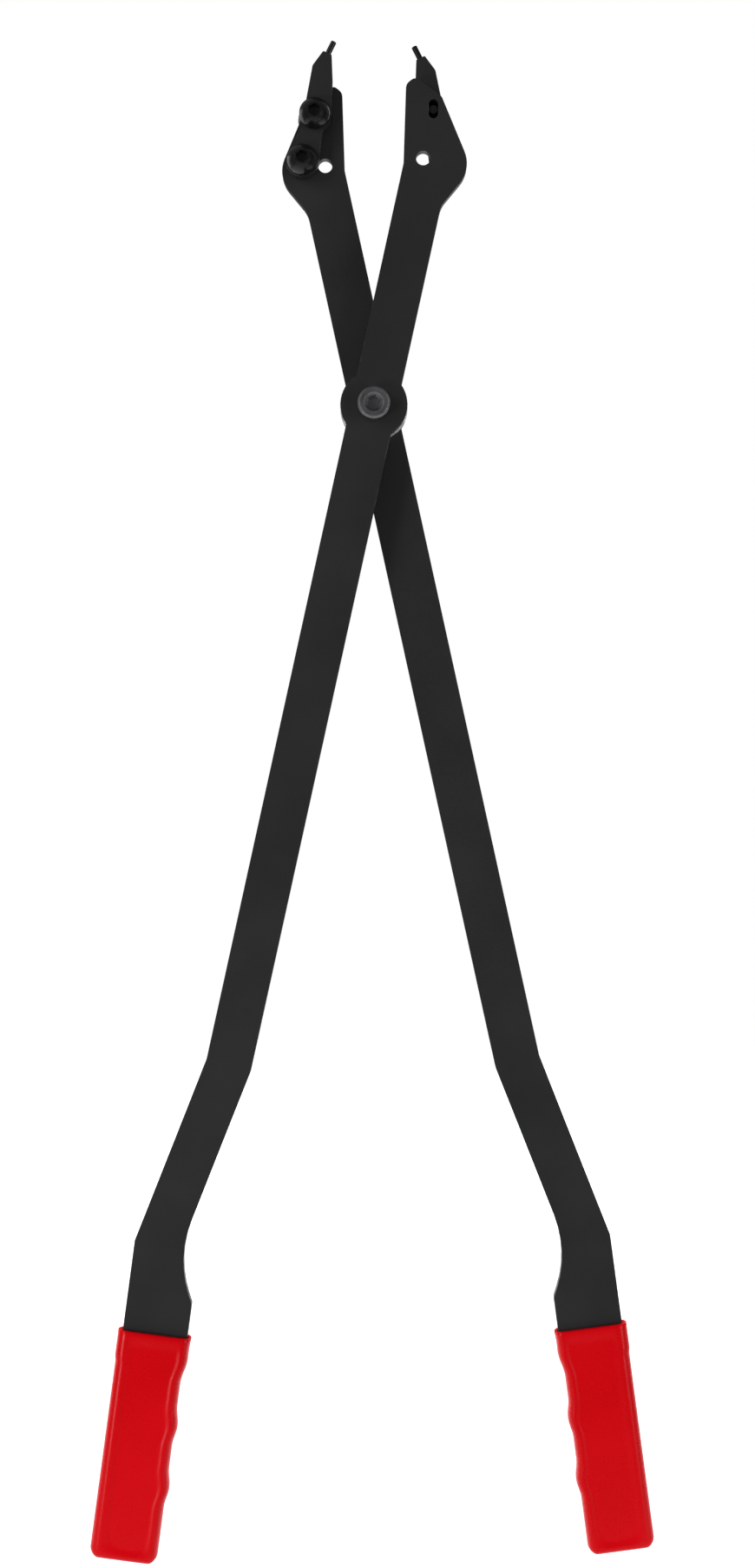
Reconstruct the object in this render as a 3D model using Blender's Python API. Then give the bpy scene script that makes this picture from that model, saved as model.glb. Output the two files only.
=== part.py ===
"""Long scissor-type coil spring compressor with pinned, adjustable tips.

Two flat steel levers cross on one bolt.  The tool stands upright in the XZ
plane: +Z is up towards the tips, the front faces -Y, and the origin is the
middle of the pivot.  Units are metres.
"""
import math

import bmesh
import bpy

MM = 0.001

# Driving dimensions -------------------------------------------------------
CLEARANCE = 0.3 * MM          # gap between pieces that touch

# Levers
LEAN = math.radians(12.4)     # each bar's lean from upright at rest
BAR_WIDTH = 20.4 * MM
ARM_THICKNESS = 5.0 * MM
BOSS_RADIUS = 15.0 * MM       # round lobe at the pivot

# Jaw end of a lever, placed from a point this far up the bar
JAW_REACH = 112.0 * MM
JAW_TOP_RISE = 34.4 * MM      # from the reach point to the jaw's inner top corner
JAW_TOP_SLOPE = 5.8 * MM      # fall of the top edge towards the outside
JAW_TOP_WIDTH = 13.6 * MM
CHEEK_OVERHANG = 9.9 * MM     # cheek corner beyond the bar's outer edge
CHEEK_RADIUS = 14.0 * MM
CHEEK_FOOT_DROP = 19.2 * MM
JAW_HOLE_RADIUS = 3.2 * MM
JAW_HOLE_OFFSET = -2.1 * MM

# Handle end of a lever
KNEE_DROP = 301.3 * MM        # pivot to the knee, along the bar
KNEE_ANGLE = math.radians(9.2)
INCLINE_LENGTH = 87.2 * MM
HANDLE_ANGLE = math.radians(4.8)
HANDLE_WIDTH = 29.0 * MM
HANDLE_BARE = 40.4 * MM       # handle showing above the grip
PEAK_DROP = 24.9 * MM         # from the outer kink to the inner peak
PEAK_ANGLE = math.radians(30.0)
NECK_RADIUS = 54.0 * MM
TONGUE_WIDTH = 26.4 * MM      # handle inside the grip
TONGUE_TAPER = 12.0 * MM

# Grips
GRIP_LENGTH = 102.4 * MM
GRIP_WALL = 2.2 * MM
GRIP_THICKNESS = 12.0 * MM
GRIP_END_WALL = 3.5 * MM
GRIP_FLARE = 2.2 * MM         # how far the mouth stands out on the inner side
FLARE_LENGTH = 17.0 * MM
FINGER_RISE = 1.1 * MM
FINGER_WIDTH = 18.0 * MM
FINGER_FIRST = 12.0 * MM      # first finger ridge below the mouth
FINGER_PITCH = 27.8 * MM
FINGER_RIDGES = 3

# Main pivot
BOLT_RADIUS = 4.75 * MM
BOLT_HEAD_RADIUS = 7.2 * MM
BOLT_HEAD_HEIGHT = 6.0 * MM
BOLT_SOCKET_WIDTH = 6.0 * MM  # across flats
BOLT_SOCKET_BEVEL = 1.3 * MM  # cone that leads into the socket, in width and depth
BOLT_SOCKET_DEPTH = 3.8 * MM
GAP_WASHERS = ("front", "middle", "rear")
WASHER_THICKNESS = 2.1 * MM
WASHER_RADIUS = 15.2 * MM
BACK_WASHER_RADIUS = 10.5 * MM
BACK_WASHER_THICKNESS = 1.8 * MM
NUT_WIDTH = 3.0 * BOLT_RADIUS  # across flats
NUT_HEIGHT = 8.2 * MM
NUT_COLLAR_HEIGHT = 3.0 * MM
BOLT_STICKS_OUT = 1.6 * MM

# Tip plates, drawn from the lower screw
TIP_THICKNESS = 5.0 * MM
TIP_SCREW_OFFSET = 7.6 * MM   # lower screw beside the bar's middle line
TIP_SCREW_RISE = 3.3 * MM     # lower screw above the reach point
TIP_SCREW_SPACING = 21.6 * MM
TIP_SCREW_ANGLE = math.radians(27.4)
TIP_EYE_RADIUS = 7.4 * MM
REAR_TIP_HEIGHT = 49.3 * MM
FRONT_TIP_HEIGHT = 46.4 * MM
TIP_SWING = math.radians(10.0)       # room in the slot for the tip to turn inwards
TIP_BACK_SWING = math.radians(4.0)   # and outwards

# Button-head screws of the tips
SCREW_RADIUS = 3.9 * MM
SCREW_HEAD_RADIUS = 7.0 * MM
SCREW_HEAD_HEIGHT = 6.4 * MM
SCREW_HEAD_RIM = 1.2 * MM     # height of the head's straight edge
SCREW_HEAD_BULGE = 0.35       # 0 is a plain cone, 1 a full dome
SCREW_SOCKET_WIDTH = 5.0 * MM
SCREW_SOCKET_DEPTH = 2.8 * MM
KEY_RADIUS = 1.8 * MM         # reduced end of the key screw
KEY_SLOT_WIDTH = 4.3 * MM
KEY_SLOT_HEIGHT = 8.6 * MM
BLIND_FLOOR = 1.0 * MM        # steel left in front of the clamp screw's end
CLAMP_WASHER_RADIUS = 8.0 * MM
CLAMP_WASHER_THICKNESS = 1.5 * MM
CLAMP_NUT_WIDTH = 13.0 * MM
CLAMP_NUT_HEIGHT = 5.0 * MM
CLAMP_STICKS_OUT = 1.2 * MM

# Tip pins
PIN_RADIUS = 1.3 * MM
PIN_SHOWING = 6.4 * MM
PIN_HELD = 8.0 * MM
PIN_FIT = 0.2 * MM
PIN_SEAT = 2.1 * MM           # half of the flat that the pin stands on
PIN_ANGLE = math.radians(26.5)

ARC_STEP = math.radians(7.5)
ROUND_SEGMENTS = 48

# Derived sizes --------------------------------------------------------------
HALF_BAR = BAR_WIDTH / 2
LEVER_GAP = len(GAP_WASHERS) * WASHER_THICKNESS + (len(GAP_WASHERS) + 1) * CLEARANCE
ARM_INNER = LEVER_GAP / 2                 # |y| of an arm's inner face
ARM_OUTER = ARM_INNER + ARM_THICKNESS     # |y| of an arm's outer face
ARM_MIDDLE = (ARM_INNER + ARM_OUTER) / 2
TIP_NEAR = ARM_INNER - CLEARANCE          # |y| of a tip plate beside its arm
TIP_FAR = TIP_NEAR - TIP_THICKNESS        # the same plate's other face
BOSS_JOIN = math.sqrt(BOSS_RADIUS ** 2 - HALF_BAR ** 2)
BOLT_HOLE_RADIUS = BOLT_RADIUS + CLEARANCE
SCREW_HOLE_RADIUS = SCREW_RADIUS + CLEARANCE
TIP_SCREW = (TIP_SCREW_OFFSET, JAW_REACH + TIP_SCREW_RISE)
TIP_UPPER = (-TIP_SCREW_SPACING * math.sin(TIP_SCREW_ANGLE),
             TIP_SCREW_SPACING * math.cos(TIP_SCREW_ANGLE))


# Outlines -------------------------------------------------------------------
def add(a, b, scale=1.0):
    """Return a + b * scale for two points in the plane."""
    return (a[0] + b[0] * scale, a[1] + b[1] * scale)


def turn(point, angle):
    """Turn a point in the plane; positive carries +Z towards +X."""
    c, s = math.cos(angle), math.sin(angle)
    return (point[0] * c + point[1] * s, -point[0] * s + point[1] * c)


def crossing(p, d, q, e):
    """Return where the line p + t d meets the line q + u e."""
    det = d[0] * e[1] - d[1] * e[0]
    t = ((q[0] - p[0]) * e[1] - (q[1] - p[1]) * e[0]) / det
    return add(p, d, t)


def arc(centre, radius, start, end):
    """Points on an arc; angles are counter-clockwise from +X."""
    steps = max(2, math.ceil(abs(end - start) / ARC_STEP))
    points = []
    for i in range(steps + 1):
        angle = start + (end - start) * i / steps
        points.append((centre[0] + radius * math.cos(angle), centre[1] + radius * math.sin(angle)))
    return points


def fillet(before, corner, after, radius):
    """Replace a corner with an arc of the given radius."""
    a = (before[0] - corner[0], before[1] - corner[1])
    b = (after[0] - corner[0], after[1] - corner[1])
    la, lb = math.hypot(*a), math.hypot(*b)
    a = (a[0] / la, a[1] / la)
    b = (b[0] / lb, b[1] / lb)
    half = math.acos(max(-1.0, min(1.0, a[0] * b[0] + a[1] * b[1]))) / 2
    reach = min(radius / math.tan(half), 0.8 * la, 0.8 * lb)
    radius = reach * math.tan(half)
    middle = (a[0] + b[0], a[1] + b[1])
    length = math.hypot(*middle)
    centre = add(corner, middle, radius / math.sin(half) / length)
    start = add(corner, a, reach)
    end = add(corner, b, reach)
    first = math.atan2(start[1] - centre[1], start[0] - centre[0])
    last = math.atan2(end[1] - centre[1], end[0] - centre[0])
    while last - first > math.pi:
        last -= 2 * math.pi
    while last - first < -math.pi:
        last += 2 * math.pi
    return arc(centre, radius, first, last)


def outline(corners, closed=True):
    """Points of an outline given as corners (x, z, fillet radius)."""
    points = []
    count = len(corners)
    for i, (x, z, radius) in enumerate(corners):
        if radius == 0 or (not closed and i in (0, count - 1)):
            points.append((x, z))
            continue
        before = corners[i - 1][:2]
        after = corners[(i + 1) % count][:2]
        points += fillet(before, (x, z), after, radius)
    return points


def circle(centre, radius, segments=ROUND_SEGMENTS):
    """A closed circle of points."""
    return [(centre[0] + radius * math.cos(2 * math.pi * i / segments),
             centre[1] + radius * math.sin(2 * math.pi * i / segments)) for i in range(segments)]


def slot(centre, width, height, angle):
    """An obround; its long way leans by angle from upright."""
    half = (height - width) / 2
    top = arc((0, half), width / 2, 0, math.pi)
    bottom = arc((0, -half), width / 2, math.pi, 2 * math.pi)
    return [add(centre, turn(p, angle)) for p in top + bottom]


def arc_slot(centre, radius, width, start, end):
    """A slot along an arc about centre; angles counter-clockwise from +X."""
    near = (centre[0] + radius * math.cos(start), centre[1] + radius * math.sin(start))
    far = (centre[0] + radius * math.cos(end), centre[1] + radius * math.sin(end))
    points = arc(centre, radius + width / 2, start, end)
    points += arc(far, width / 2, end, end + math.pi)[1:-1]
    points += arc(centre, radius - width / 2, end, start)
    points += arc(near, width / 2, start + math.pi, start + 2 * math.pi)[1:-1]
    return points


def mirrored(loops, side):
    """Flip loops left to right for the rear lever (side -1)."""
    return [[(x * side, z) for x, z in loop] for loop in loops]


# Handle geometry, in the lever's own frame with the bar upright --------------
INCLINE_WAY = (-math.sin(KNEE_ANGLE), -math.cos(KNEE_ANGLE))
INCLINE_ACROSS = (math.cos(KNEE_ANGLE), -math.sin(KNEE_ANGLE))
HANDLE_WAY = (math.sin(HANDLE_ANGLE), -math.cos(HANDLE_ANGLE))
HANDLE_ACROSS = (math.cos(HANDLE_ANGLE), math.sin(HANDLE_ANGLE))
OUTER_KNEE = (-HALF_BAR, -KNEE_DROP)
OUTER_KINK = add(OUTER_KNEE, INCLINE_WAY, INCLINE_LENGTH)


def on_handle(across, along):
    """A point on the handle: across from its outer edge, along from the kink."""
    return add(add(OUTER_KINK, HANDLE_ACROSS, across), HANDLE_WAY, along)


def tongue_corners(clear=0.0, top=0.0):
    """The handle's end inside the grip, grown by clear; starts top above the mouth."""
    end = HANDLE_BARE + GRIP_LENGTH - GRIP_END_WALL - CLEARANCE + clear
    corner = 3.0 * MM + clear
    return [
        (*on_handle(-clear, HANDLE_BARE - top), 0),
        (*on_handle(-clear, end), corner),
        (*on_handle(TONGUE_WIDTH + clear, end), corner),
        (*on_handle(TONGUE_WIDTH + clear, HANDLE_BARE + TONGUE_TAPER), 10.0 * MM),
        (*on_handle(HANDLE_WIDTH + clear, HANDLE_BARE), 0),
    ]


def lever_outline():
    """The lever's outline: jaw at the top, boss at the origin, handle below."""
    incline_inner = add(OUTER_KNEE, INCLINE_ACROSS, BAR_WIDTH)
    inner_knee = crossing((HALF_BAR, 0), (0, -1), incline_inner, INCLINE_WAY)
    peak = on_handle(HANDLE_WIDTH, PEAK_DROP)
    rise_way = (-math.sin(PEAK_ANGLE), math.cos(PEAK_ANGLE))
    neck = crossing(peak, rise_way, incline_inner, INCLINE_WAY)
    jaw_top = JAW_REACH + JAW_TOP_RISE
    shoulder = -HALF_BAR - 6.5 * MM
    join = math.atan2(BOSS_JOIN, HALF_BAR)

    jaw = outline([
        (HALF_BAR, BOSS_JOIN, 0),
        (HALF_BAR, JAW_REACH - CHEEK_FOOT_DROP, 12.0 * MM),
        (HALF_BAR + CHEEK_OVERHANG, JAW_REACH, CHEEK_RADIUS),
        (shoulder + 3.2 * MM + JAW_TOP_WIDTH, jaw_top - JAW_TOP_SLOPE, 2.5 * MM),
        (shoulder + 3.2 * MM, jaw_top, 2.0 * MM),
        (shoulder, jaw_top - 3.6 * MM, 4.0 * MM),
        (-HALF_BAR, JAW_REACH - 4.0 * MM, 6.0 * MM),
        (-HALF_BAR, BOSS_JOIN, 0),
    ], closed=False)
    tongue = tongue_corners()
    handle = outline([
        (-HALF_BAR, -BOSS_JOIN, 0),
        (*OUTER_KNEE, 1.5 * MM),
        (*OUTER_KINK, 2.0 * MM),
    ] + tongue[1:] + [
        (*peak, 3.0 * MM),
        (*neck, NECK_RADIUS),
        (*inner_knee, 14.0 * MM),
        (HALF_BAR, -BOSS_JOIN, 0),
    ], closed=False)
    left_lobe = arc((0, 0), BOSS_RADIUS, math.pi - join, math.pi + join)[1:-1]
    right_lobe = arc((0, 0), BOSS_RADIUS, -join, join)[1:-1]
    return jaw + left_lobe + handle + right_lobe


def pin_seat(height):
    """Middle of the flat that the pin stands on, about the lower screw."""
    return (turn(TIP_UPPER, LEAN)[0] - 5.7 * MM, height - 1.1 * MM)


def tip_outline(height):
    """A tip plate's outline about its lower screw, drawn for the front lever at rest."""
    upper = turn(TIP_UPPER, LEAN)
    lobe = TIP_EYE_RADIUS - 0.2 * MM
    seat = pin_seat(height)
    along_seat = (math.cos(PIN_ANGLE), math.sin(PIN_ANGLE))
    eye = arc((0, 0), TIP_EYE_RADIUS, math.radians(30), math.radians(-173))
    blade = outline([
        (*eye[-1], 0),
        (upper[0] - lobe * 0.5, upper[1] - lobe, 3.0 * MM),
        (upper[0] - lobe, upper[1] - lobe * 0.5, 3.0 * MM),
        (upper[0] - lobe - 0.8 * MM, height - 13.0 * MM, 4.0 * MM),
        (*add(seat, along_seat, -PIN_SEAT), 0),
        (*add(seat, along_seat, PIN_SEAT), 0.6 * MM),
        (upper[0] + 1.0 * MM, height - 6.6 * MM, 3.0 * MM),
        (upper[0] + lobe - 0.8 * MM, upper[1] - lobe, 3.0 * MM),
        (*eye[0], 0),
    ], closed=False)
    return eye[1:-1] + blade


# Solids ---------------------------------------------------------------------
def clear_scene():
    """Remove every object that the file holds."""
    for item in list(bpy.data.objects):
        bpy.data.objects.remove(item, do_unlink=True)


def material(name, colour, roughness, metallic):
    """A plain Principled material."""
    made = bpy.data.materials.new(name)
    made.use_nodes = True
    shader = made.node_tree.nodes["Principled BSDF"]
    shader.inputs["Base Color"].default_value = (*colour, 1.0)
    shader.inputs["Roughness"].default_value = roughness
    shader.inputs["Metallic"].default_value = metallic
    made.diffuse_color = (*colour, 1.0)
    return made


def add_object(name, bm, finish, parent, smooth=False):
    """Turn a bmesh into a named object with its own material."""
    bmesh.ops.recalc_face_normals(bm, faces=bm.faces)
    mesh = bpy.data.meshes.new(name)
    bm.to_mesh(mesh)
    bm.free()
    if smooth:
        mesh.shade_smooth()
        mesh.set_sharp_from_angle(angle=math.radians(35))
    made = bpy.data.objects.new(name, mesh)
    bpy.context.scene.collection.objects.link(made)
    made.data.materials.append(material(name, *finish))
    made.parent = parent
    return made


def empty(name, parent, location=(0, 0, 0), lean=0.0):
    """An empty that carries a body's pieces, on the body's joint axis."""
    made = bpy.data.objects.new(name, None)
    bpy.context.scene.collection.objects.link(made)
    made.parent = parent
    made.location = location
    made.rotation_euler = (0, lean, 0)
    return made


def prism(loops, y_front, y_back):
    """A flat piece between two depths; the first loop is its rim, the others are holes."""
    bm = bmesh.new()
    if len(loops) == 1:
        bm.faces.new([bm.verts.new((x, y_front, z)) for x, z in loops[0]])
    else:
        for loop in loops:
            ring = [bm.verts.new((x, y_front, z)) for x, z in loop]
            for i, vert in enumerate(ring):
                bm.edges.new((vert, ring[(i + 1) % len(ring)]))
        bmesh.ops.triangle_fill(bm, edges=bm.edges[:], use_beauty=True)
    pushed = bmesh.ops.extrude_face_region(bm, geom=bm.faces[:])
    moved = [item for item in pushed["geom"] if isinstance(item, bmesh.types.BMVert)]
    bmesh.ops.translate(bm, verts=moved, vec=(0, y_back - y_front, 0))
    return bm


def turned(profile, segments=ROUND_SEGMENTS, closed=False):
    """A solid turned about Y from (radius, y) points: from axis to axis, or a closed ring."""
    bm = bmesh.new()
    rings = []
    for radius, y in profile:
        if radius == 0:
            rings.append([bm.verts.new((0, y, 0))])
            continue
        ring = []
        for x, z in circle((0, 0), radius, segments):
            ring.append(bm.verts.new((x, y, z)))
        rings.append(ring)
    if closed:
        rings.append(rings[0])
    for near, far in zip(rings, rings[1:]):
        for i in range(segments):
            j = (i + 1) % segments
            corners = [near[i % len(near)], near[j % len(near)], far[j % len(far)], far[i % len(far)]]
            bm.faces.new(list(dict.fromkeys(corners)))
    return bm


def ring_solid(inner, outer, y_front, y_back):
    """A plain washer."""
    return prism([circle((0, 0), outer), circle((0, 0), inner)], y_front, y_back)


def hexagon(width, turn_by=0.0):
    """A hexagon's corners from its width across flats."""
    radius = width / math.sqrt(3)
    return [(radius * math.sin(turn_by + math.pi / 3 * i), radius * math.cos(turn_by + math.pi / 3 * i))
            for i in range(6)]


def cut(target, name, bm):
    """Cut a hidden tool out of an object."""
    mesh = bpy.data.meshes.new(name)
    bmesh.ops.recalc_face_normals(bm, faces=bm.faces)
    bm.to_mesh(mesh)
    bm.free()
    tool = bpy.data.objects.new(name, mesh)
    bpy.context.scene.collection.objects.link(tool)
    tool.parent = target
    tool.hide_render = True
    tool.display_type = "WIRE"
    step = target.modifiers.new(name, "BOOLEAN")
    step.operation = "DIFFERENCE"
    step.object = tool
    return tool


# Finishes: colour, roughness, metallic
BLACK_PAINT = ((0.018, 0.019, 0.021), 0.45, 0.0)
BLACK_OXIDE = ((0.014, 0.014, 0.016), 0.28, 0.7)
DARK_STEEL = ((0.075, 0.077, 0.082), 0.38, 0.8)
ZINC = ((0.62, 0.63, 0.66), 0.3, 1.0)
RED_VINYL = ((0.68, 0.004, 0.012), 0.32, 0.0)
NYLON = ((0.1, 0.18, 0.5), 0.5, 0.0)


# Levers -----------------------------------------------------------------------
def make_arm(name, lever, side, jaw_cuts):
    """One lever: side 1 is the front one, side -1 the rear one, turned over."""
    loops = [
        lever_outline(),
        circle((0, 0), BOLT_HOLE_RADIUS),
        circle((JAW_HOLE_OFFSET, JAW_REACH), JAW_HOLE_RADIUS),
    ] + jaw_cuts
    depths = sorted((-side * ARM_INNER, -side * ARM_OUTER))
    bm = prism(mirrored(loops, side), *depths)
    return add_object(name, bm, BLACK_PAINT, lever)


def grip_edge(along):
    """How far the grip's inner side stands out, along from the mouth."""
    stand = 0.0
    if along < FLARE_LENGTH:
        stand += GRIP_FLARE * (1 + math.cos(math.pi * along / FLARE_LENGTH)) / 2
    for ridge in range(FINGER_RIDGES):
        offset = along - FINGER_FIRST - FINGER_PITCH * ridge
        if abs(offset) < FINGER_WIDTH / 2:
            stand += FINGER_RISE * (1 + math.cos(2 * math.pi * offset / FINGER_WIDTH)) / 2
    return stand


def grip_outline():
    """The grip's outline in the lever's frame."""
    inner = TONGUE_WIDTH + GRIP_WALL
    bottom = HANDLE_BARE + GRIP_LENGTH
    steps = 56
    length = GRIP_LENGTH - 8.0 * MM
    edge = [on_handle(inner + grip_edge(length * i / steps), HANDLE_BARE + length * i / steps)
            for i in range(steps + 1)]
    base = outline([
        (*edge[-1], 0),
        (*on_handle(inner, bottom), 5.0 * MM),
        (*on_handle(-GRIP_WALL, bottom), 4.5 * MM),
        (*on_handle(-GRIP_WALL, HANDLE_BARE), 0),
    ], closed=False)
    return edge + base[1:]


def make_grip(name, lever, side):
    """A closed vinyl sleeve on the handle, open at its mouth."""
    middle = -side * ARM_MIDDLE
    loops = mirrored([grip_outline()], side)
    bm = prism(loops, middle - GRIP_THICKNESS / 2, middle + GRIP_THICKNESS / 2)
    grip = add_object(name, bm, RED_VINYL, lever, smooth=True)
    soft = grip.modifiers.new("soft_edges", "BEVEL")
    soft.width = 1.2 * MM
    soft.segments = 2
    soft.limit_method = "ANGLE"
    soft.angle_limit = math.radians(40)
    over = 6.0 * MM
    pocket = tongue_corners(CLEARANCE, top=over)
    pocket.append((*on_handle(HANDLE_WIDTH + CLEARANCE, HANDLE_BARE - over), 0))
    half = ARM_THICKNESS / 2 + CLEARANCE
    tool = prism(mirrored([outline(pocket)], side), middle - half, middle + half)
    cut(grip, name + "_pocket", tool)
    return grip


# Main pivot -------------------------------------------------------------------
def make_pivot(root):
    """Socket-head bolt, spacing washers, back washer and lock nut, all on the Y axis."""
    seat = -ARM_OUTER - CLEARANCE
    top = seat - BOLT_HEAD_HEIGHT
    washer_front = ARM_OUTER + CLEARANCE
    nut_front = washer_front + BACK_WASHER_THICKNESS + CLEARANCE
    nut_back = nut_front + NUT_HEIGHT + NUT_COLLAR_HEIGHT
    end = nut_back + BOLT_STICKS_OUT
    bevel = 0.8 * MM
    bolt = add_object("pivot_bolt", turned([
        (0, top), (BOLT_HEAD_RADIUS - bevel, top), (BOLT_HEAD_RADIUS, top + bevel),
        (BOLT_HEAD_RADIUS, seat), (BOLT_RADIUS, seat),
        (BOLT_RADIUS, end - bevel), (BOLT_RADIUS - bevel, end), (0, end),
    ]), DARK_STEEL, root, smooth=True)
    socket = prism([hexagon(BOLT_SOCKET_WIDTH)], top - 1.0 * MM, top + BOLT_SOCKET_DEPTH)
    cut(bolt, "pivot_bolt_socket", socket)
    flat = BOLT_SOCKET_WIDTH / 2
    above = top - 1.0 * MM
    mouth = turned([
        (0, above), (flat + BOLT_SOCKET_BEVEL + 1.0 * MM, above),
        (flat, top + BOLT_SOCKET_BEVEL), (0, top + BOLT_SOCKET_BEVEL),
    ])
    cut(bolt, "pivot_bolt_mouth", mouth)

    for i, place in enumerate(GAP_WASHERS):
        front = -ARM_INNER + CLEARANCE + i * (WASHER_THICKNESS + CLEARANCE)
        bm = ring_solid(BOLT_HOLE_RADIUS, WASHER_RADIUS, front, front + WASHER_THICKNESS)
        add_object("pivot_washer_" + place, bm, ZINC, root, smooth=True)
    bm = ring_solid(BOLT_HOLE_RADIUS, BACK_WASHER_RADIUS, washer_front, washer_front + BACK_WASHER_THICKNESS)
    add_object("pivot_back_washer", bm, ZINC, root, smooth=True)

    collar = NUT_WIDTH / 2 - 0.4 * MM
    recess = collar - 0.6 * MM
    top = nut_front + NUT_HEIGHT
    make_nut("pivot_lock_nut", root, NUT_WIDTH, BOLT_HOLE_RADIUS, nut_front, top, [
        (collar, nut_back), (recess, nut_back), (recess, top),
    ])
    insert = ring_solid(BOLT_HOLE_RADIUS, recess - CLEARANCE, top + CLEARANCE, nut_back - CLEARANCE)
    add_object("pivot_nut_insert", insert, NYLON, root, smooth=True)


def make_nut(name, parent, width, bore, front, back, collar=()):
    """A chamfered hexagon nut about the Y axis; collar adds (radius, y) points behind it."""
    corner = width / math.sqrt(3)
    chamfer = 0.9 * MM
    profile = [(bore, front), (corner - chamfer, front), (corner + 0.1 * MM, front + chamfer),
               (corner + 0.1 * MM, back - chamfer), (corner - chamfer, back)]
    profile += collar
    profile.append((bore, profile[-1][1]))
    nut = add_object(name, turned(profile, closed=True), ZINC, parent, smooth=True)
    around = prism([circle((0, 0), corner * 2, 12), hexagon(width)],
                   front - 1.0 * MM, back + 0.5 * MM)
    cut(nut, name + "_flats", around)
    return nut


# Tips -------------------------------------------------------------------------
def screw_end(length):
    """The plain end of a tip screw's shank."""
    bevel = 0.6 * MM
    return [(SCREW_RADIUS, length - bevel), (SCREW_RADIUS - bevel, length), (0, length)]


def button_profile(end):
    """A button-head screw's profile: the head's underside is at y 0, the shank runs to +Y."""
    steps = 6
    flat = SCREW_SOCKET_WIDTH / 2 + 0.8 * MM
    dome = SCREW_HEAD_HEIGHT - SCREW_HEAD_RIM
    points = [(0, -SCREW_HEAD_HEIGHT)]
    for i in range(steps + 1):
        along = i / steps
        angle = math.pi / 2 * along
        out = along + SCREW_HEAD_BULGE * (math.sin(angle) - along)
        high = 1 - along + SCREW_HEAD_BULGE * (math.cos(angle) - 1 + along)
        points.append((flat + (SCREW_HEAD_RADIUS - flat) * out, -SCREW_HEAD_RIM - dome * high))
    return points + [(SCREW_HEAD_RADIUS, 0), (SCREW_RADIUS, 0)] + end


def make_screw(name, parent, centre, seat, way, end):
    """A button-head screw; way 1 points its shank to +Y, -1 to -Y."""
    screw = add_object(name, turned(button_profile(end)), BLACK_OXIDE, parent, smooth=True)
    socket = prism([hexagon(SCREW_SOCKET_WIDTH)], -SCREW_HEAD_HEIGHT - 1.0 * MM,
                   -SCREW_HEAD_HEIGHT + SCREW_SOCKET_DEPTH)
    cut(screw, name + "_socket", socket)
    screw.location = (centre[0], seat, centre[1])
    if way < 0:
        screw.rotation_euler = (0, 0, math.pi)
    return screw


def make_tip(name, parent, side, height):
    """A tip plate with its leaning pin; side 1 is the front lever's."""
    upper = turn(TIP_UPPER, LEAN)
    loops = [tip_outline(height), circle((0, 0), SCREW_HOLE_RADIUS), circle(upper, SCREW_HOLE_RADIUS)]
    depths = sorted((-side * TIP_NEAR, -side * TIP_FAR))
    plate = add_object(name + "_plate", prism(mirrored(loops, side), *depths), BLACK_PAINT, parent)

    seat = pin_seat(height)
    middle = (side * seat[0], -side * (TIP_NEAR + TIP_FAR) / 2, seat[1])
    bevel = 0.25 * MM
    pin = add_object(name + "_pin", turned([
        (0, -PIN_HELD), (PIN_RADIUS, -PIN_HELD), (PIN_RADIUS, PIN_SHOWING - bevel),
        (PIN_RADIUS - bevel, PIN_SHOWING), (0, PIN_SHOWING),
    ], 24), BLACK_OXIDE, parent, smooth=True)
    bore = PIN_RADIUS + PIN_FIT
    drill = cut(plate, name + "_pin_hole", turned([
        (0, -PIN_HELD - PIN_FIT), (bore, -PIN_HELD - PIN_FIT), (bore, PIN_SHOWING), (0, PIN_SHOWING),
    ], 24))
    for item in (pin, drill):
        item.location = middle
        item.rotation_euler = (math.pi / 2, -side * PIN_ANGLE, 0)
    return plate


def make_front_tip(lever):
    """The fixed tip, behind the front lever's jaw, with both its screws."""
    tip = empty("front_tip", lever, (TIP_SCREW[0], 0, TIP_SCREW[1]), -LEAN)
    make_tip("front_tip", tip, 1, FRONT_TIP_HEIGHT)
    upper = turn(TIP_UPPER, LEAN)
    seat = -TIP_FAR + CLEARANCE
    to_face = seat + ARM_OUTER
    to_arm = seat + ARM_INNER - CLEARANCE
    bevel = 0.4 * MM
    make_screw("front_tip_clamp_screw", tip, (0, 0), seat, -1,
               screw_end(to_face - BLIND_FLOOR - CLEARANCE))
    make_screw("front_tip_key_screw", tip, upper, seat, -1, [
        (SCREW_RADIUS, to_arm - bevel), (SCREW_RADIUS - bevel, to_arm), (KEY_RADIUS, to_arm),
        (KEY_RADIUS, to_face - 1.0 * MM), (0, to_face - 1.0 * MM),
    ])


def make_rear_tip(lever):
    """The adjustable tip, in front of the rear lever's jaw; it turns about its lower screw."""
    centre = (-TIP_SCREW[0], 0, TIP_SCREW[1])
    tip = empty("rear_tip", lever, centre, LEAN)
    make_tip("rear_tip", tip, -1, REAR_TIP_HEIGHT)
    upper = turn(TIP_UPPER, LEAN)
    upper = (-upper[0], upper[1])
    seat = TIP_FAR - CLEARANCE
    make_screw("rear_tip_pivot_screw", empty("rear_tip_pivot", lever, centre), (0, 0), seat, 1,
               screw_end(ARM_OUTER - seat))
    washer_front = ARM_OUTER + CLEARANCE
    nut_front = washer_front + CLAMP_WASHER_THICKNESS + CLEARANCE
    nut_back = nut_front + CLAMP_NUT_HEIGHT
    make_screw("rear_tip_clamp_screw", tip, upper, seat, 1, screw_end(nut_back + CLAMP_STICKS_OUT - seat))
    bm = ring_solid(SCREW_HOLE_RADIUS, CLAMP_WASHER_RADIUS, washer_front,
                    washer_front + CLAMP_WASHER_THICKNESS)
    washer = add_object("rear_tip_clamp_washer", bm, ZINC, tip, smooth=True)
    nut = make_nut("rear_tip_clamp_nut", tip, CLAMP_NUT_WIDTH, SCREW_HOLE_RADIUS, nut_front, nut_back)
    for item in (washer, nut):
        item.location = (upper[0], 0, upper[1])


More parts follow.
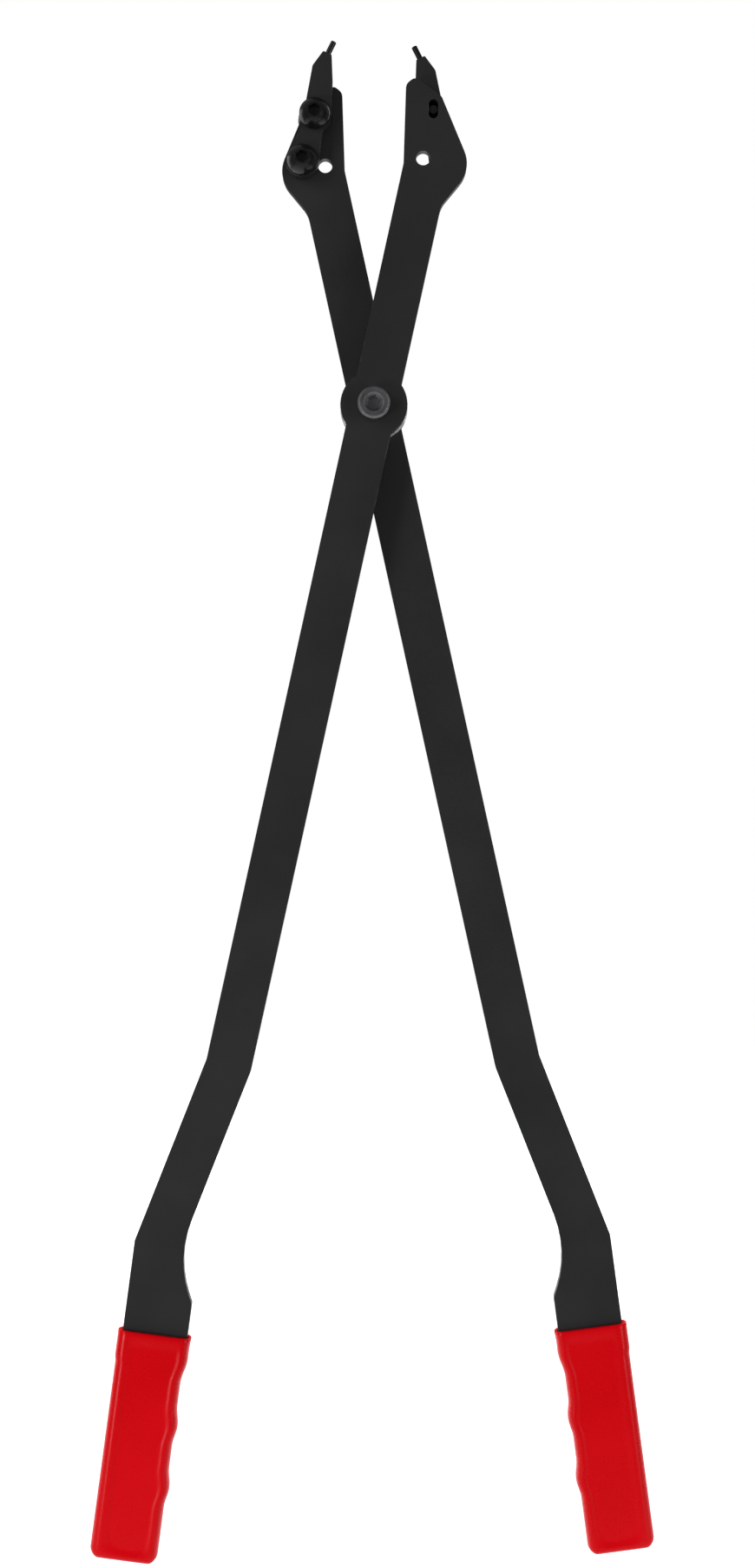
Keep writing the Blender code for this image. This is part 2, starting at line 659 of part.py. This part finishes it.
def build():
    """Make the whole tool at rest."""
    clear_scene()
    front_lever = empty("front_lever", None, lean=LEAN)
    rear_lever = empty("rear_lever", None, lean=-LEAN)

    upper = add(TIP_SCREW, TIP_UPPER)
    key_slot = slot(upper, KEY_SLOT_WIDTH, KEY_SLOT_HEIGHT, -LEAN)
    lead = math.pi / 2 + TIP_SCREW_ANGLE
    swing_slot = arc_slot(TIP_SCREW, TIP_SCREW_SPACING, 2 * SCREW_HOLE_RADIUS,
                          lead - TIP_BACK_SWING, lead + TIP_SWING)
    front_arm = make_arm("front_arm", front_lever, 1, [key_slot])
    socket = prism([circle(TIP_SCREW, SCREW_HOLE_RADIUS)], -ARM_OUTER + BLIND_FLOOR, 0)
    cut(front_arm, "front_arm_blind_hole", socket)
    make_arm("rear_arm", rear_lever, -1, [swing_slot, circle(TIP_SCREW, SCREW_HOLE_RADIUS)])
    make_grip("front_grip", front_lever, 1)
    make_grip("rear_grip", rear_lever, -1)
    make_pivot(front_lever)
    make_front_tip(front_lever)
    make_rear_tip(rear_lever)


build()
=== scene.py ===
import math

import bmesh
import bpy
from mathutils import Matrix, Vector


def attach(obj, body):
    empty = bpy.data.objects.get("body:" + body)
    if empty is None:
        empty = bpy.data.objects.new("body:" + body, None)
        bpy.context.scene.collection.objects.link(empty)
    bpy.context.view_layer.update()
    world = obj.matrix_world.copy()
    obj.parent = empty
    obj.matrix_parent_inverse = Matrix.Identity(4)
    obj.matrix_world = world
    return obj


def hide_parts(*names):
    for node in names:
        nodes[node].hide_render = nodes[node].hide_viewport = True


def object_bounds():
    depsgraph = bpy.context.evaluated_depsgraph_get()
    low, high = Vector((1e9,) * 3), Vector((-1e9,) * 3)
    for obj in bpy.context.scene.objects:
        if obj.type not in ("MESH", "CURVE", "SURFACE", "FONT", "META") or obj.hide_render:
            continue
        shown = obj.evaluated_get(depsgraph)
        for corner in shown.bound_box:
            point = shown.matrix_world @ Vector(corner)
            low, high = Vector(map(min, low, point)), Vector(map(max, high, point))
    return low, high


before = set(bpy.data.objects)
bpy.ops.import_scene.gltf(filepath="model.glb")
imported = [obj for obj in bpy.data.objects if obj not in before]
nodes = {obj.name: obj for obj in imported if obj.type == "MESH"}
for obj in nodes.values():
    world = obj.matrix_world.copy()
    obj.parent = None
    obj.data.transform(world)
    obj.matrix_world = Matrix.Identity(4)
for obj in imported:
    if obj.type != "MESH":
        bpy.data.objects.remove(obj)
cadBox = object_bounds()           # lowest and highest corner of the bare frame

mm = 0.001
print("frame loaded:", len(nodes), "nodes")

# camera and room, in metres
cameraSettings = {
    "distance": 1.0,           # from the middle plane of the tool
    "lens": 51.0,
    "sensor": 36.0,
    "farthest": 60.0,
    "aimX": 0.0016,
    "aimZ": -0.1695,           # the camera is level at this height
}

roomSettings = {
    "floorDrop": 0.085,        # floor below the grips' ends
    "floorRadius": 1.7,
    "floorSides": 96,
    "floorRoughness": 0.9,
    "floorFront": 0.6,         # how far it comes forward of the tool
    "solidShare": 0.45,        # the rim thins out beyond this part of the radius
    "floorColour": (0.95, 0.95, 0.955),
    "roomLight": 0.16,         # what the room gives the tool
    "roomSeen": 1.0,           # how pale the room looks behind it
}

# name, place, size, watts, what it looks at
lampSettings = [
    ("keyLamp", (-1.9, -1.5, 0.9), (1.1, 1.8), 27.0, (0.0, 0.0, -0.2)),
    ("fillLamp", (2.0, -1.3, 0.2), (1.1, 2.0), 19.0, (0.0, 0.0, -0.2)),
    ("lowLeft", (-0.95, -0.85, -0.5), (0.32, 0.4), 5.0, (0.0, 0.0, 0.0)),
    ("lowRight", (1.0, -0.8, -0.4), (0.25, 0.4), 2.2, (0.0, 0.0, 0.0)),
    ("topLamp", (0.0, 1.5, 2.3), (2.6, 2.2), 150.0, (0.0, 1.3, -0.6)),
    ("backLamp", (1.3, 2.0, 0.6), (1.4, 1.8), 9.0, (0.0, 0.0, -0.2)),
    ("backFill", (-1.9, 1.4, 0.1), (1.2, 1.8), 8.0, (0.0, 0.0, -0.2)),
]


def link(obj):
    bpy.context.scene.collection.objects.link(obj)
    return obj


def makeCamera(s):
    data = bpy.data.cameras.new("camera")
    data.lens = s["lens"]
    data.sensor_width = s["sensor"]
    data.clip_end = s["farthest"]
    camera = link(bpy.data.objects.new("camera", data))
    camera.location = (s["aimX"], -s["distance"], s["aimZ"])
    camera.rotation_euler = (math.radians(90), 0, 0)   # looks along +Y, level
    bpy.context.scene.camera = camera


def fadeRim(tree, shader, s):
    # the floor thins out towards its rim, so that no edge shows
    place = tree.nodes.new("ShaderNodeTexCoord")
    length = tree.nodes.new("ShaderNodeVectorMath")
    length.operation = "LENGTH"
    tree.links.new(place.outputs["Object"], length.inputs[0])
    solid = s["floorRadius"] * s["solidShare"]
    amount = remap(tree, length.outputs["Value"], solid, s["floorRadius"], 0.0, 1.0)
    clear = tree.nodes.new("ShaderNodeBsdfTransparent")
    mix = tree.nodes.new("ShaderNodeMixShader")
    tree.links.new(amount, mix.inputs["Fac"])
    tree.links.new(shader.outputs["BSDF"], mix.inputs[1])
    tree.links.new(clear.outputs["BSDF"], mix.inputs[2])
    tree.links.new(mix.outputs["Shader"], tree.nodes["Material Output"].inputs["Surface"])


def makeRoom(s):
    low = cadBox[0][2] - s["floorDrop"]
    bm = bmesh.new()
    ring = []
    for i in range(s["floorSides"]):
        turn = 2 * math.pi * i / s["floorSides"]
        ring.append(bm.verts.new((s["floorRadius"] * math.cos(turn),
                                  s["floorRadius"] * math.sin(turn), 0)))
    bm.faces.new(ring)
    floor = meshObject("floor", bm)
    floor.location = (0, s["floorRadius"] - s["floorFront"], low)
    paper = bpy.data.materials.new("paleFloor")
    paper.use_nodes = True
    shader = paper.node_tree.nodes["Principled BSDF"]
    shader.inputs["Base Color"].default_value = (*s["floorColour"], 1)
    shader.inputs["Roughness"].default_value = s["floorRoughness"]
    fadeRim(paper.node_tree, shader, s)
    floor.data.materials.append(paper)

    world = bpy.data.worlds.new("paleRoom")
    world.use_nodes = True
    tree = world.node_tree
    lit = tree.nodes["Background"]
    lit.inputs["Color"].default_value = (1.0, 1.0, 1.0, 1)
    lit.inputs["Strength"].default_value = s["roomLight"]
    seen = tree.nodes.new("ShaderNodeBackground")
    seen.inputs["Color"].default_value = (1.0, 1.0, 1.0, 1)
    seen.inputs["Strength"].default_value = s["roomSeen"]
    path = tree.nodes.new("ShaderNodeLightPath")
    mix = tree.nodes.new("ShaderNodeMixShader")
    tree.links.new(path.outputs["Is Camera Ray"], mix.inputs["Fac"])
    tree.links.new(lit.outputs["Background"], mix.inputs[1])
    tree.links.new(seen.outputs["Background"], mix.inputs[2])
    tree.links.new(mix.outputs["Shader"], tree.nodes["World Output"].inputs["Surface"])
    bpy.context.scene.world = world
    bpy.context.scene.view_settings.view_transform = "Standard"
    print("room made")


def makeLamps(lamps):
    for name, place, size, watts, target in lamps:
        data = bpy.data.lights.new(name, "AREA")
        data.shape = "RECTANGLE"
        data.size, data.size_y = size
        data.energy = watts
        lamp = link(bpy.data.objects.new(name, data))
        lamp.location = place
        aim = Vector(target) - Vector(place)
        lamp.rotation_euler = aim.to_track_quat("-Z", "Y").to_euler()
        lamp.visible_glossy = name != "topLamp"      # it lights the floor but leaves no glare
    print("lamps made:", len(lamps))


def meshObject(name, bm):
    bmesh.ops.recalc_face_normals(bm, faces=bm.faces)
    mesh = bpy.data.meshes.new(name)
    bm.to_mesh(mesh)
    bm.free()
    mesh.shade_smooth()
    return link(bpy.data.objects.new(name, mesh))


# finishes: each has its own numbers further down
patchy = (0.35, 0.65)          # stretches of the noise that a finish uses
gentle = (0.3, 0.7)
scuffed = (0.5, 0.62)
rarePeaks = (0.74, 0.80)
speckShare = 0.2
edgeTurn = (0.995, 0.90)       # how far normals agree on a flat, and on an edge
paintSpread = 0.03             # fine changes of roughness, either way
metalSpread = 0.04
vinylSpread = 0.04


def newFinish(name):
    made = bpy.data.materials.new(name)
    made.use_nodes = True
    tree = made.node_tree
    shader = tree.nodes["Principled BSDF"]
    place = tree.nodes.new("ShaderNodeTexCoord")
    return made, tree, shader, place.outputs["Object"]


def noise(tree, place, scale, detail=3.0, stretch=None, rough=0.5):
    grain = tree.nodes.new("ShaderNodeTexNoise")
    grain.inputs["Scale"].default_value = scale
    grain.inputs["Detail"].default_value = detail
    grain.inputs["Roughness"].default_value = rough
    if stretch:
        squeeze = tree.nodes.new("ShaderNodeMapping")
        squeeze.inputs["Scale"].default_value = stretch
        tree.links.new(place, squeeze.inputs["Vector"])
        place = squeeze.outputs["Vector"]
    tree.links.new(place, grain.inputs["Vector"])
    return grain.outputs["Fac"]


def remap(tree, value, fromLow, fromHigh, low, high):
    step = tree.nodes.new("ShaderNodeMapRange")
    ends = {"From Min": fromLow, "From Max": fromHigh, "To Min": low, "To Max": high}
    for name, number in ends.items():
        step.inputs[name].default_value = number
    tree.links.new(value, step.inputs["Value"])
    return step.outputs["Result"]


def combine(tree, kind, a, b):
    step = tree.nodes.new("ShaderNodeMath")
    step.operation = kind
    tree.links.new(a, step.inputs[0])
    if isinstance(b, float):
        step.inputs[1].default_value = b
    else:
        tree.links.new(b, step.inputs[1])
    return step.outputs["Value"]


def mixColours(tree, factor, low, high):
    mix = tree.nodes.new("ShaderNodeMix")
    mix.data_type = "RGBA"
    tree.links.new(factor, mix.inputs["Factor"])
    for name, colour in (("A", low), ("B", high)):
        socket = [s for s in mix.inputs if s.name == name and s.type == "RGBA"][0]
        if isinstance(colour, tuple):
            socket.default_value = (*colour, 1)
        else:
            tree.links.new(colour, socket)
    return [s for s in mix.outputs if s.type == "RGBA"][0]


def bump(tree, shader, height, strength, distance, before=None):
    step = tree.nodes.new("ShaderNodeBump")
    step.inputs["Strength"].default_value = strength
    step.inputs["Distance"].default_value = distance
    tree.links.new(height, step.inputs["Height"])
    if before:
        tree.links.new(before, step.inputs["Normal"])
    tree.links.new(step.outputs["Normal"], shader.inputs["Normal"])
    return step.outputs["Normal"]


def edgeMask(tree, radius):
    # 1 on an edge, 0 on a flat: how far a rounded normal turns from the real one
    soft = tree.nodes.new("ShaderNodeBevel")
    soft.samples = 6
    soft.inputs["Radius"].default_value = radius
    real = tree.nodes.new("ShaderNodeNewGeometry")
    dot = tree.nodes.new("ShaderNodeVectorMath")
    dot.operation = "DOT_PRODUCT"
    tree.links.new(soft.outputs["Normal"], dot.inputs[0])
    tree.links.new(real.outputs["Normal"], dot.inputs[1])
    return remap(tree, dot.outputs["Value"], *edgeTurn, 0.0, 1.0)


def paintFinish(name, s):
    made, tree, shader, place = newFinish(name)
    cloud = noise(tree, place, s["cloudScale"], 4.0)
    fine = noise(tree, place, s["peelScale"], 2.0)
    body = mixColours(tree, remap(tree, cloud, *patchy, 0.0, 1.0), s["dark"], s["light"])
    scratchy = noise(tree, place, s["scuffScale"], 5.0, rough=0.65)
    scuff = remap(tree, scratchy, *scuffed, 0.0, 1.0)
    wearAndSheenMask = combine(tree, "MULTIPLY", edgeMask(tree, s["edgeWidth"]), scuff)
    wearAndSheenMask = combine(tree, "MULTIPLY", wearAndSheenMask, s["wearAndSheen"])
    tree.links.new(mixColours(tree, wearAndSheenMask, body, s["wornAndSheenColour"]), shader.inputs["Base Color"])
    roughness = combine(tree, "ADD", remap(tree, cloud, *gentle, s["smooth"], s["rough"]),
                        remap(tree, fine, *gentle, -paintSpread, paintSpread))
    tree.links.new(roughness, shader.inputs["Roughness"])
    shader.inputs["Specular IOR Level"].default_value = s["shine"]
    first = bump(tree, shader, fine, s["peelStrength"], s["peelDepth"])
    wave = noise(tree, place, s["waveScale"], 2.0)
    bump(tree, shader, wave, s["waveStrength"], s["waveDepth"], first)
    return made


def metalFinish(name, s):
    made, tree, shader, place = newFinish(name)
    cloud = noise(tree, place, s["cloudScale"], 4.0)
    body = mixColours(tree, remap(tree, cloud, *patchy, 0.0, 1.0), s["dark"], s["light"])
    # lighter colour on the edges; on the pivot bolt this is a painted highlight, a bright ring
    # standing in for the glint on its chamfer
    if s["wearAndSheen"]:
        wearAndSheenMask = combine(tree, "MULTIPLY", edgeMask(tree, s["edgeWidth"]), s["wearAndSheen"])
        body = mixColours(tree, wearAndSheenMask, body, s["wornAndSheenColour"])
    tree.links.new(body, shader.inputs["Base Color"])
    shader.inputs["Metallic"].default_value = s["metallic"]
    shader.inputs["Specular IOR Level"].default_value = s["shine"]
    fine = noise(tree, place, s["grainScale"], 3.0, s["grainStretch"])
    roughness = combine(tree, "ADD", remap(tree, cloud, *gentle, s["smooth"], s["rough"]),
                        remap(tree, fine, *gentle, -metalSpread, metalSpread))
    tree.links.new(roughness, shader.inputs["Roughness"])
    bump(tree, shader, fine, s["grainStrength"], s["grainDepth"])
    return made


def vinylFinish(name, s):
    made, tree, shader, place = newFinish(name)
    cloud = noise(tree, place, s["cloudScale"], 3.0)
    body = mixColours(tree, remap(tree, cloud, *gentle, 0.0, 1.0), s["dark"], s["light"])
    speck = remap(tree, noise(tree, place, s["speckScale"], 2.0), *rarePeaks, 0.0, speckShare)
    tree.links.new(mixColours(tree, speck, body, s["speckColour"]), shader.inputs["Base Color"])
    fine = noise(tree, place, s["grainScale"], 3.0)
    roughness = combine(tree, "ADD", remap(tree, cloud, *gentle, s["smooth"], s["rough"]),
                        remap(tree, fine, *gentle, -vinylSpread, vinylSpread))
    tree.links.new(roughness, shader.inputs["Roughness"])
    shader.inputs["Specular IOR Level"].default_value = s["shine"]
    shader.inputs["Coat Weight"].default_value = s["coat"]
    shader.inputs["Coat Roughness"].default_value = s["coatRoughness"]
    first = bump(tree, shader, fine, s["grainStrength"], s["grainDepth"])
    wave = noise(tree, place, s["waveScale"], 2.0)
    bump(tree, shader, wave, s["waveStrength"], s["waveDepth"], first)
    return made


leverPaint = {
    "dark": (0.0125, 0.0128, 0.0135), "light": (0.0155, 0.0158, 0.0168),
    "cloudScale": 22.0, "peelScale": 1500.0, "peelStrength": 0.15, "peelDepth": 0.00006,
    "waveScale": 60.0, "waveStrength": 0.05, "waveDepth": 0.0004,
    "scuffScale": 260.0, "edgeWidth": 0.0009, "wearAndSheen": 0.4, "wornAndSheenColour": (0.10, 0.10, 0.105),
    "smooth": 0.40, "rough": 0.48, "shine": 0.42,
}
screwOxide = {
    "dark": (0.006, 0.006, 0.0065), "light": (0.010, 0.010, 0.011), "metallic": 0.0,
    "cloudScale": 160.0, "grainScale": 900.0, "grainStretch": (1.0, 4.0, 1.0),
    "grainStrength": 0.03, "grainDepth": 0.00005,
    "edgeWidth": 0.0004, "wearAndSheen": 0.0, "smooth": 0.16, "rough": 0.22, "shine": 0.32,
}
# the pivot bolt's bright edge ring is a painted highlight for the glint on its chamfer
boltOxide = dict(screwOxide, dark=(0.16, 0.161, 0.166), light=(0.20, 0.202, 0.208),
                 metallic=0.9, smooth=0.30, rough=0.40, shine=0.5,
                 wearAndSheen=0.7, wornAndSheenColour=(0.60, 0.60, 0.62), edgeWidth=0.0006)
zincPlate = dict(screwOxide, dark=(0.52, 0.53, 0.56), light=(0.72, 0.73, 0.75),
                 metallic=1.0, smooth=0.20, rough=0.36, shine=0.5,
                 wearAndSheen=0.3, wornAndSheenColour=(0.85, 0.85, 0.86), grainStrength=0.3)
lockNylon = {
    "dark": (0.06, 0.12, 0.38), "light": (0.09, 0.16, 0.46), "speckColour": (0.2, 0.28, 0.6),
    "cloudScale": 200.0, "speckScale": 900.0, "grainScale": 1500.0, "grainStrength": 0.1,
    "grainDepth": 0.00008, "waveScale": 300.0, "waveStrength": 0.06, "waveDepth": 0.0008,
    "smooth": 0.45, "rough": 0.6, "shine": 0.4, "coat": 0.0, "coatRoughness": 0.18,
}
gripVinyl = {
    "dark": (0.62, 0.0001, 0.0030), "light": (0.67, 0.0002, 0.0045),
    "speckColour": (0.70, 0.004, 0.01),
    "cloudScale": 26.0, "speckScale": 300.0, "grainScale": 1100.0, "grainStrength": 0.05,
    "grainDepth": 0.00008, "waveScale": 40.0, "waveStrength": 0.06, "waveDepth": 0.0008,
    "smooth": 0.24, "rough": 0.32, "shine": 0.12, "coat": 0.02, "coatRoughness": 0.18,
}


# steel pieces keep their own nodes, with broken edges and a finish
edgeWidths = {                 # broken edges, by the last word of the piece's name
    "arm": 0.35 * mm,
    "plate": 0.35 * mm,
    "pin": 0.18 * mm,
    "screw": 0.16 * mm,
    "bolt": 0.22 * mm,
    "nut": 0.2 * mm,
    "washer": 0.22 * mm,
    "insert": 0.12 * mm,
}
sharpestFlat = math.radians(32)     # edges that turn more than this are broken
weldReach = 0.000002


def smoothNodes():
    # drops stored normals and shades smooth as the modifier runs; the mesh itself stays as it is
    group = bpy.data.node_groups.new("freshNormals", "GeometryNodeTree")
    group.interface.new_socket("Geometry", in_out="INPUT", socket_type="NodeSocketGeometry")
    group.interface.new_socket("Geometry", in_out="OUTPUT", socket_type="NodeSocketGeometry")
    start = group.nodes.new("NodeGroupInput")
    drop = group.nodes.new("GeometryNodeRemoveAttribute")
    drop.inputs["Name"].default_value = "custom_normal"
    shade = group.nodes.new("GeometryNodeSetShadeSmooth")
    soften = group.nodes.new("GeometryNodeSetShadeSmooth")
    soften.domain = "EDGE"
    for step in (shade, soften):
        step.inputs["Shade Smooth"].default_value = True
    end = group.nodes.new("NodeGroupOutput")
    for before, after in ((start, drop), (drop, shade), (shade, soften), (soften, end)):
        group.links.new(before.outputs[0], after.inputs[0])
    return group


def breakEdges(obj, width):
    fresh = obj.modifiers.new("freshNormals", "NODES")
    fresh.node_group = normalsGroup
    weld = obj.modifiers.new("weld", "WELD")
    weld.merge_threshold = weldReach
    edge = obj.modifiers.new("brokenEdge", "BEVEL")
    edge.width = width
    edge.segments = 2
    edge.limit_method = "ANGLE"
    edge.angle_limit = sharpestFlat
    edge.use_clamp_overlap = True
    edge.harden_normals = True
    edge.miter_outer = "MITER_ARC"


def dressSteel():
    finishes = {"arm": paint, "plate": paint, "pin": oxide, "screw": oxide, "bolt": bolt,
                "nut": zinc, "washer": zinc, "insert": nylon}
    for node in sorted(nodes):
        kind = node.split("_")[-1]      # front_tip_plate is a plate
        if "washer" in node:
            kind = "washer"
        if kind == "grip":
            continue
        breakEdges(nodes[node], edgeWidths[kind])
        for slot in nodes[node].material_slots:
            slot.material = finishes[kind]
    print("steel dressed")


# grips: dipped vinyl with a raised border and finger ridges
grip = {
    "lean": math.radians(7.6),      # handle's angle from upright
    "thickness": 11.4 * mm,         # over the bead
    "beadRadius": 3.2 * mm,
    "outerSpread": 0.7,             # the bead is wider on the outer side
    "faceSink": 0.7 * mm,           # flat face below the bead
    "sinkWidth": 2.2 * mm,
    "cornerRadius": 5.0 * mm,
    "flare": 2.2 * mm,              # mouth, on the finger side
    "flareLength": 17.0 * mm,
    "ridgeRise": 1.3 * mm,
    "ridgeWidth": 18.0 * mm,
    "ridgeFirst": 12.0 * mm,
    "ridgePitch": 27.8 * mm,
    "ridges": 3,
    "collar": 0.45 * mm,            # step on the outer side, near the mouth
    "collarLength": 11.5 * mm,
    "wall": 2.2 * mm,
    "fingerWall": 0.7,              # share of it on the finger side
    "steepen": 3,                   # the lip goes flat against the handle this fast
    "mouthFlat": 1.5 * mm,          # the face sinks from here
    "mouthBlend": 5.0 * mm,         # over this length
    "collarBlend": 2.5 * mm,
    "endZone": 9 * mm,              # where the plain end is measured
    # the lip turns in and runs down inside: share of the way in, and how far down
    "lip": ((0.35, -0.25 * mm), (0.8, -0.25 * mm), (1.0, 0.4 * mm), (1.0, 9.0 * mm)),
    "bore": 2.85 * mm,              # half of the opening's depth
    "rows": 120,
    "columns": 36,
}
tiny = 1e-7


def smooth(t):
    t = max(0.0, min(1.0, t))
    return t * t * (3 - 2 * t)


def fingerSide(s, along):
    # how far the finger side stands out, along from the mouth
    stand = 0.0
    if along < s["flareLength"]:
        stand += s["flare"] * (1 + math.cos(math.pi * along / s["flareLength"])) / 2
    for ridge in range(s["ridges"]):
        offset = along - s["ridgeFirst"] - s["ridgePitch"] * ridge
        if abs(offset) < s["ridgeWidth"] / 2:
            stand += s["ridgeRise"] * (1 + math.cos(2 * math.pi * offset / s["ridgeWidth"])) / 2
    return stand


def halfThickness(s, edge, mouth):
    # edge: distance in from the nearest border
    inside = min(1.0, edge / s["beadRadius"])
    height = s["thickness"] / 2 * math.sqrt(max(0.0, 1 - (1 - inside) ** 2))
    sink = s["faceSink"] * smooth((edge - s["beadRadius"]) / s["sinkWidth"])
    sink *= smooth((mouth - s["mouthFlat"]) / s["mouthBlend"])
    return height - sink


def makeGrip(node, body, side, s):
    down = Vector((side * math.sin(s["lean"]), 0, -math.cos(s["lean"])))
    out = Vector((side * math.cos(s["lean"]), 0, math.sin(s["lean"])))
    corners = [v.co for v in nodes[node].data.vertices]
    mouth = min(v.dot(down) for v in corners)
    bottom = max(v.dot(down) for v in corners)
    outer = max(v.dot(out) for v in corners)
    deep = [v.y for v in corners]
    middle = (min(deep) + max(deep)) / 2
    ends = [v for v in corners if v.dot(down) > bottom - s["endZone"]]
    inner = min(v.dot(out) for v in ends)
    length = bottom - mouth

    def point(along, across, y):
        p = down * (mouth + along) + out * across
        return (p.x, middle + y, p.z)

    bm = bmesh.new()
    front, back = [], []
    for i in range(s["rows"] + 1):
        along = length * math.sin(math.pi / 2 * i / s["rows"])
        left = length - along
        inset = 0.0
        if left < s["cornerRadius"]:
            reach = s["cornerRadius"] - left
            inset = s["cornerRadius"] - math.sqrt(max(0.0, s["cornerRadius"] ** 2 - reach ** 2))
        low = inner - fingerSide(s, along) + inset
        high = outer - inset - s["collar"] * smooth(
            (along - s["collarLength"]) / s["collarBlend"])
        frontRow, backRow = [], []
        for j in range(s["columns"] + 1):
            share = (1 - math.cos(math.pi * j / s["columns"])) / 2
            across = low + (high - low) * share
            a, b, c = across - low, (high - across) * s["outerSpread"], left
            edge = min(a, b)
            edge = 1 / math.sqrt(1 / max(edge, tiny) ** 2 + 1 / max(c, tiny) ** 2)
            height = halfThickness(s, edge, along)
            onRim = j in (0, s["columns"]) or i == s["rows"]
            frontRow.append(bm.verts.new(point(along, across, -height if not onRim else 0)))
            backRow.append(frontRow[-1] if onRim else bm.verts.new(point(along, across, height)))
        front.append(frontRow)
        back.append(backRow)
    for sheet in (front, back):
        for a, b in zip(sheet, sheet[1:]):
            for j in range(s["columns"]):
                bm.faces.new((a[j], a[j + 1], b[j + 1], b[j]))

    # the lip at the mouth goes round the handle
    low, high = inner - fingerSide(s, 0.0), outer
    outerLoop = front[0] + back[0][-2:0:-1]
    rings = [outerLoop]
    for sink, along in s["lip"]:
        ring = []
        for v in outerLoop:
            across = v.co.dot(out)
            target = max(low + s["wall"] * s["fingerWall"], min(high - s["wall"], across))
            y = v.co.y - middle
            steel = max(-s["bore"], min(s["bore"], y * s["steepen"]))
            spot = point(along, across + (target - across) * sink, y + (steel - y) * sink)
            ring.append(bm.verts.new(spot))
        rings.append(ring)
    for a, b in zip(rings, rings[1:]):
        for j in range(len(a)):
            k = (j + 1) % len(a)
            bm.faces.new((a[j], a[k], b[k], b[j]))
    bm.faces.new(rings[-1])
    bmesh.ops.remove_doubles(bm, verts=bm.verts, dist=tiny)
    piece = meshObject(node + "_skin", bm)
    piece.data.materials.append(vinyl)
    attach(piece, body)
    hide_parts(node)
    print("made", piece.name)


paint = paintFinish("satinBlackPaint", leverPaint)
oxide = metalFinish("blackOxide", screwOxide)
bolt = metalFinish("darkBoltSteel", boltOxide)
zinc = metalFinish("zincPlate", zincPlate)
nylon = vinylFinish("lockNylon", lockNylon)
vinyl = vinylFinish("redVinyl", gripVinyl)
normalsGroup = smoothNodes()
print("finishes made")

makeCamera(cameraSettings)
makeRoom(roomSettings)
makeLamps(lampSettings)
dressSteel()
makeGrip("front_grip", "front_lever", -1, grip)
makeGrip("rear_grip", "rear_lever", 1, grip)
